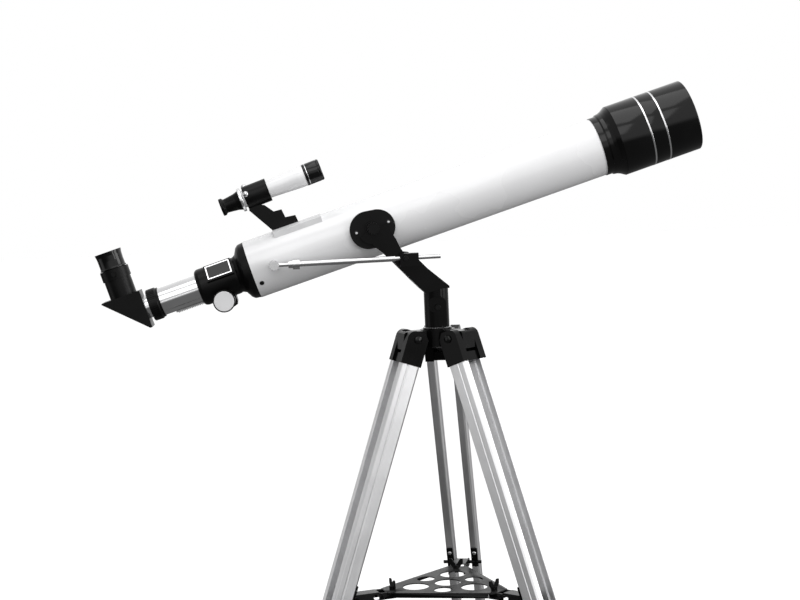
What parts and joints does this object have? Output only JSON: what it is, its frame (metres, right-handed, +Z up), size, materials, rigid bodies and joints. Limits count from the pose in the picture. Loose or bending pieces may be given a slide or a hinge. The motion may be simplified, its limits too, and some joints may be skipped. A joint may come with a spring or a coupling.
{
  "type": "refractor telescope",
  "caption": "Small refractor telescope with star diagonal and finder on an alt-azimuth yoke with a slow-motion rod and a braced folding aluminium tripod with accessory tray.",
  "frame": {"origin": "on the floor, under the azimuth axis of the tripod", "axes": "+Z up along the azimuth axis; +X the way the objective points, in plan; +Y to the observer's left"},
  "size_m": [0.8372, 0.6522, 1.275],
  "materials": {
    "white_enamel": "gloss white enamel",
    "black_gloss": "glossy black moulding",
    "black_satin": "satin black moulding",
    "black_metal": "black enamel on metal",
    "chrome": "polished chrome",
    "bright_trim": "bright trim",
    "satin_aluminium": "satin anodised extrusion",
    "steel": "plated steel",
    "gear": "machined steel gear",
    "tray_sheet": "dark grey enamel on sheet steel",
    "rubber": "black rubber",
    "glass": "coated optical glass",
    "mirror": "aluminised mirror"
  },
  "bodies": {
    "tripod_head": {"tripod_head": "black_gloss", "head_bolts": "steel"},
    "yoke": {"yoke": "black_gloss"},
    "azimuth_lock": {"azimuth_lock_screw": "black_satin"},
    "tube": {"main_tube": "white_enamel", "objective_cell": "black_gloss", "objective_lenses": "glass", "inner_rings": "black_satin", "focuser_housing": "black_satin", "pinion_cover": "black_satin", "name_badge": "bright_trim", "finder_saddle": "white_enamel", "finder_bracket": "black_satin", "finder_screws": "steel", "trunnion_plates": "black_satin", "tube_screws": "black_metal", "rod_stud": "steel"},
    "dew_shield": {"dew_shield": "black_gloss", "dew_shield_rings": "bright_trim"},
    "drawtube": {"drawtube": "chrome", "focus_rack": "gear", "drawtube_collar": "black_satin"},
    "focus_knobs": {"focus_pinion": "gear", "focus_knobs": "black_satin", "knob_caps": "bright_trim"},
    "diagonal": {"diagonal_housing": "black_satin", "diagonal_barrel": "chrome", "diagonal_mirror": "mirror"},
    "eyepiece_thumbscrew": {"eyepiece_thumbscrew": "black_satin"},
    "eyepiece": {"eyepiece_body": "black_satin", "eyepiece_lenses": "glass"},
    "finder": {"finder_tube": "white_enamel", "finder_cell": "black_gloss", "finder_eyepiece": "black_satin", "finder_lenses": "glass"},
    "altitude_screw_near": {"altitude_screw_near": "black_satin"},
    "altitude_screw_far": {"altitude_screw_far": "black_satin"},
    "altitude_rod": {"altitude_rod": "steel"},
    "rod_clamp": {"rod_clamp": "black_gloss"},
    "rod_clamp_screw": {"rod_clamp_screw": "black_satin"},
    "tray": {"accessory_tray": "tray_sheet", "tray_wing_screws": "black_satin"},
    "leg_1": {"leg_1_rails": "satin_aluminium", "leg_1_fittings": "black_gloss"},
    "leg_1_lock": {"leg_1_lock_screw": "black_satin"},
    "leg_1_lower": {"leg_1_lower": "satin_aluminium", "leg_1_foot": "rubber"},
    "brace_1": {"leg_1_brace": "black_metal"},
    "leg_2": {"leg_2_rails": "satin_aluminium", "leg_2_fittings": "black_gloss"},
    "leg_2_lock": {"leg_2_lock_screw": "black_satin"},
    "leg_2_lower": {"leg_2_lower": "satin_aluminium", "leg_2_foot": "rubber"},
    "brace_2": {"leg_2_brace": "black_metal"},
    "leg_3": {"leg_3_rails": "satin_aluminium", "leg_3_fittings": "black_gloss"},
    "leg_3_lock": {"leg_3_lock_screw": "black_satin"},
    "leg_3_lower": {"leg_3_lower": "satin_aluminium", "leg_3_foot": "rubber"},
    "brace_3": {"leg_3_brace": "black_metal"}
  },
  "joints": [
    {"name": "azimuth", "type": "hinge", "parent": "tripod_head", "child": "yoke", "pos_m": [0, 0, 0.95115], "axis": [0, 0, 1], "continuous": true},
    {"name": "azimuth_lock_turn", "type": "hinge", "parent": "yoke", "child": "azimuth_lock", "pos_m": [0, 0, 0.97915], "axis": [0, -1, 0], "continuous": true},
    {"name": "altitude", "type": "hinge", "parent": "yoke", "child": "tube", "pos_m": [-0.0855, 0, 1.09176], "axis": [0, -1, 0], "range_deg": [-20, 50]},
    {"name": "altitude_screw_near_turn", "type": "hinge", "parent": "yoke", "child": "altitude_screw_near", "pos_m": [-0.0855, 0, 1.09176], "axis": [0, -1, 0], "continuous": true},
    {"name": "altitude_screw_far_turn", "type": "hinge", "parent": "yoke", "child": "altitude_screw_far", "pos_m": [-0.0855, 0, 1.09176], "axis": [0, 1, 0], "continuous": true},
    {"name": "rod_swing", "type": "hinge", "parent": "tube", "child": "altitude_rod", "pos_m": [-0.21975, -0.062, 1.04862], "axis": [0, -1, 0], "range_deg": [-10.93, 4.67]},
    {"name": "rod_clamp_swivel", "type": "hinge", "parent": "yoke", "child": "rod_clamp", "pos_m": [-0.0394, -0.062, 1.05045], "axis": [0, -1, 0], "range_deg": [-16.33, 40.07]},
    {"name": "rod_clamp_screw_turn", "type": "hinge", "parent": "rod_clamp", "child": "rod_clamp_screw", "pos_m": [-0.0444, -0.062, 1.05045], "axis": [0, -1, 0], "continuous": true},
    {"name": "dew_shield_slide", "type": "slide", "parent": "tube", "child": "dew_shield", "axis": [0.9563, 0, 0.2924], "range_m": [0, 0.012]},
    {"name": "focus", "type": "slide", "parent": "tube", "child": "drawtube", "axis": [0.9563, 0, 0.2924], "range_m": [-0.02, 0.052]},
    {"name": "focus_knob_turn", "type": "hinge", "parent": "tube", "child": "focus_knobs", "pos_m": [-0.28915, 0, 1.00231], "axis": [0, -1, 0], "range_deg": [-667.1, 259.6]},
    {"name": "diagonal_turn", "type": "hinge", "parent": "drawtube", "child": "diagonal", "pos_m": [-0.39152, 0, 0.9982], "axis": [0.9563, 0, 0.2924], "continuous": true},
    {"name": "eyepiece_thumbscrew_turn", "type": "hinge", "parent": "diagonal", "child": "eyepiece_thumbscrew", "pos_m": [-0.43592, -0.022, 1.04423], "axis": [0, -1, 0], "continuous": true},
    {"name": "eyepiece_slide", "type": "slide", "parent": "diagonal", "child": "eyepiece", "axis": [-0.2924, 0, 0.9563], "range_m": [0, 0.03]},
    {"name": "finder_aim", "type": "hinge", "parent": "tube", "child": "finder", "pos_m": [-0.23954, 0, 1.14411], "axis": [0, -1, 0], "range_deg": [-1.5, 1.5]},
    {"name": "leg_fold", "type": "hinge", "parent": "tripod_head", "child": "leg_1", "pos_m": [0.00936, 0.03673, 0.93715], "axis": [-0.969, 0.247, 0], "range_deg": [0, 5.06]},
    {"name": "leg_1_retract", "type": "slide", "parent": "leg_1", "child": "leg_1_lower", "axis": [-0.082, -0.3219, 0.9432], "range_m": [-0.03, 0.34]},
    {"name": "leg_1_lock_turn", "type": "hinge", "parent": "leg_1", "child": "leg_1_lock", "pos_m": [0.06005, 0.23557, 0.41465], "axis": [0.233, 0.914, 0.3322], "continuous": true},
    {"name": "brace_1_swing", "type": "hinge", "parent": "leg_1", "child": "brace_1", "pos_m": [0.0354, 0.13886, 0.58667], "axis": [-0.969, 0.247, 0], "range_deg": [-83.32, 0]},
    {"name": "leg_2_fold", "type": "hinge", "parent": "tripod_head", "child": "leg_2", "pos_m": [0.02712, -0.02647, 0.93715], "axis": [0.6984, 0.7157, 0], "range_deg": [0, 5.16]},
    {"name": "leg_2_retract", "type": "slide", "parent": "leg_2", "child": "leg_2_lower", "axis": [-0.2377, 0.232, 0.9432], "range_m": [-0.03, 0.34]},
    {"name": "leg_2_lock_turn", "type": "hinge", "parent": "leg_2", "child": "leg_2_lock", "pos_m": [0.17399, -0.16979, 0.41465], "axis": [0.6751, -0.6588, 0.3322], "continuous": true},
    {"name": "brace_2_swing", "type": "hinge", "parent": "leg_2", "child": "brace_2", "pos_m": [0.10256, -0.10008, 0.58667], "axis": [0.6984, 0.7157, 0], "range_deg": [-83.32, 0]},
    {"name": "leg_3_fold", "type": "hinge", "parent": "tripod_head", "child": "leg_3", "pos_m": [-0.03649, -0.01026, 0.93715], "axis": [0.2706, -0.9627, 0], "range_deg": [0, 5.16]},
    {"name": "leg_3_retract", "type": "slide", "parent": "leg_3", "child": "leg_3_lower", "axis": [0.3198, 0.0899, 0.9432], "range_m": [-0.03, 0.34]},
    {"name": "leg_3_lock_turn", "type": "hinge", "parent": "leg_3", "child": "leg_3_lock", "pos_m": [-0.23404, -0.06578, 0.41465], "axis": [-0.908, -0.2552, 0.3322], "continuous": true},
    {"name": "brace_3_swing", "type": "hinge", "parent": "leg_3", "child": "brace_3", "pos_m": [-0.13796, -0.03878, 0.58667], "axis": [0.2706, -0.9627, 0], "range_deg": [-83.32, 0]},
    {"name": "tray_lower", "type": "slide", "parent": "tripod_head", "child": "tray", "axis": [0, 0, -1], "range_m": [0, 0.0527]}
  ],
  "couplings": [
    {"joint": "rod_swing", "follows": "altitude", "ratio": -0.2085},
    {"joint": "rod_clamp_swivel", "follows": "altitude", "ratio": 0.7915},
    {"joint": "focus_knob_turn", "follows": "focus", "rad_per_m": -222.22},
    {"joint": "leg_2_fold", "follows": "leg_fold", "ratio": 1},
    {"joint": "leg_3_fold", "follows": "leg_fold", "ratio": 1},
    {"joint": "brace_1_swing", "follows": "leg_fold", "ratio": -16.367},
    {"joint": "brace_2_swing", "follows": "leg_fold", "ratio": -16.367},
    {"joint": "brace_3_swing", "follows": "leg_fold", "ratio": -16.367},
    {"joint": "tray_lower", "follows": "leg_fold", "m_per_rad": 0.59321}
  ]
}
